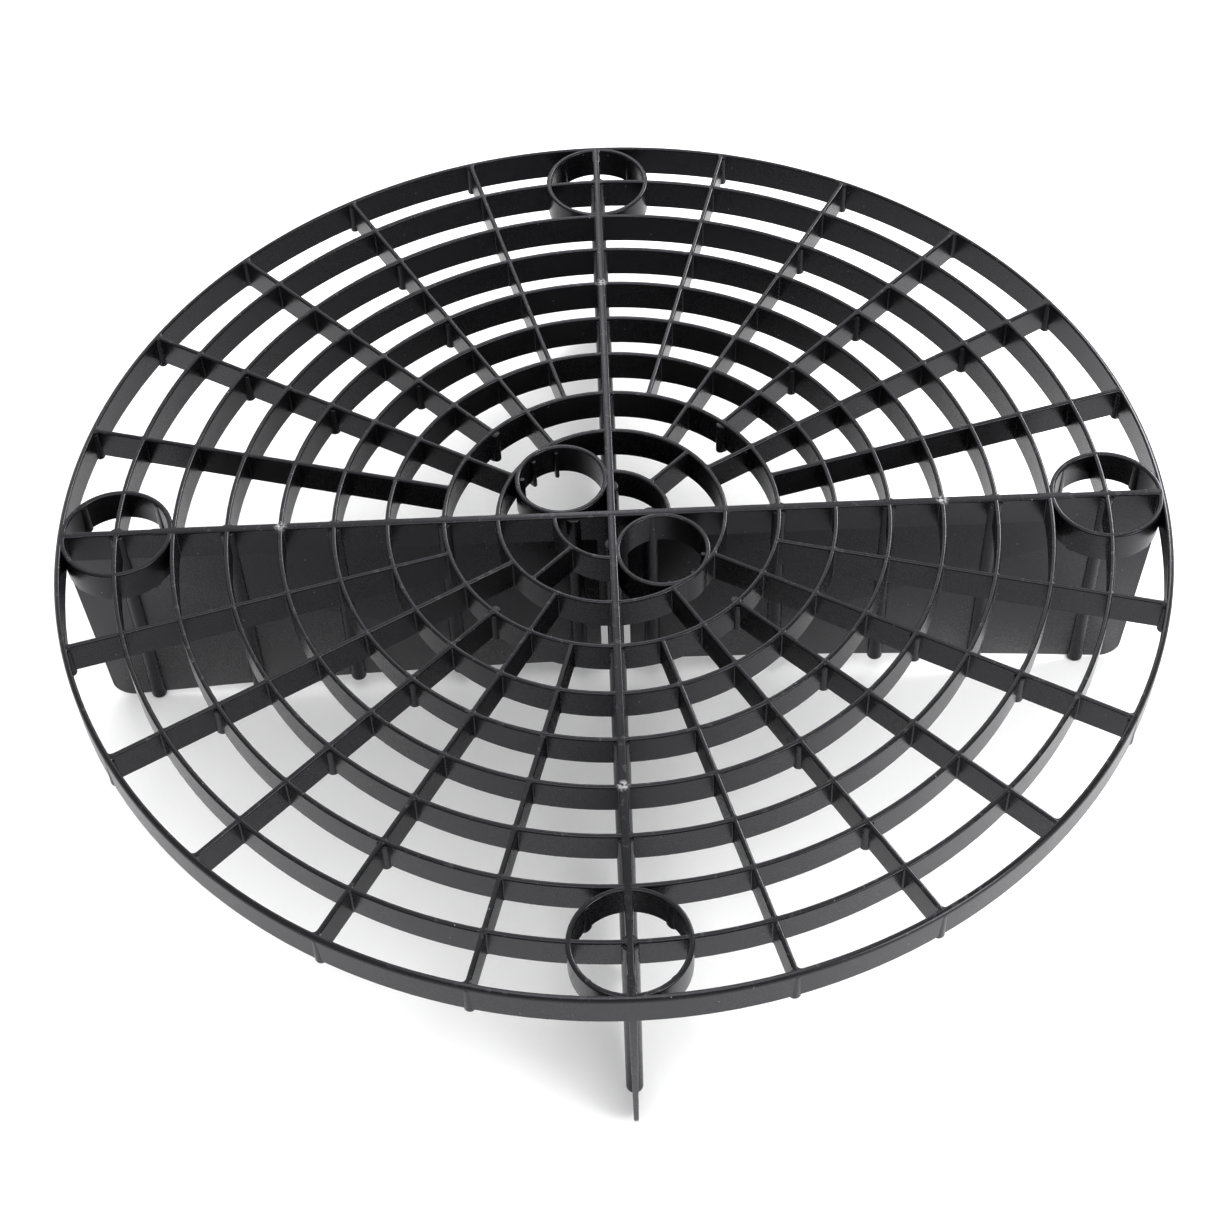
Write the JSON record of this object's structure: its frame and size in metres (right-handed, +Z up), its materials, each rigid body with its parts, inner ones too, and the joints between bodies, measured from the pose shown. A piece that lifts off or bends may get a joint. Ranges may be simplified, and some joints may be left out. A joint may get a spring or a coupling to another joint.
{
  "type": "wash bucket dirt screen",
  "caption": "Round black plastic grille on four upright vanes that stands in a wash bucket, lets dirt fall through and keeps it on the bottom.",
  "frame": {"origin": "on the floor under the middle of the grille", "axes": "+Z up to the grille's top face, +X to the right along one main spoke, +Y to the back along another; the centre sockets are at back left and front right"},
  "size_m": [0.2599, 0.26, 0.0622],
  "materials": {
    "black_plastic": "satin moulded polypropylene, fine even texture on the walls, smoother rounded top edges"
  },
  "bodies": {
    "root": {"centre_collar_back_left": "black_plastic", "centre_collar_front_right": "black_plastic", "centre_web": "black_plastic", "collar_bosses": "black_plastic", "collar_teeth_back_left": "black_plastic", "collar_teeth_front_right": "black_plastic", "edge_collar_back": "black_plastic", "edge_collar_front": "black_plastic", "edge_collar_left": "black_plastic", "edge_collar_right": "black_plastic", "grille_bosses": "black_plastic", "inner_arc_back_right": "black_plastic", "inner_arc_front_left": "black_plastic", "inner_strut_back_right": "black_plastic", "inner_strut_front_left": "black_plastic", "main_spoke_back": "black_plastic", "main_spoke_front": "black_plastic", "main_spoke_left": "black_plastic", "main_spoke_right": "black_plastic", "outer_rim": "black_plastic", "rim_bosses": "black_plastic", "ring_1": "black_plastic", "ring_2": "black_plastic", "ring_3": "black_plastic", "ring_4": "black_plastic", "ring_5": "black_plastic", "ring_6": "black_plastic", "ring_7": "black_plastic", "ring_8": "black_plastic", "spokes_back_left": "black_plastic", "spokes_back_right": "black_plastic", "spokes_front_left": "black_plastic", "spokes_front_right": "black_plastic", "vane_back": "black_plastic", "vane_columns_back": "black_plastic", "vane_columns_front": "black_plastic", "vane_columns_left": "black_plastic", "vane_columns_right": "black_plastic", "vane_front": "black_plastic", "vane_left": "black_plastic", "vane_right": "black_plastic"}
  },
  "joints": []
}
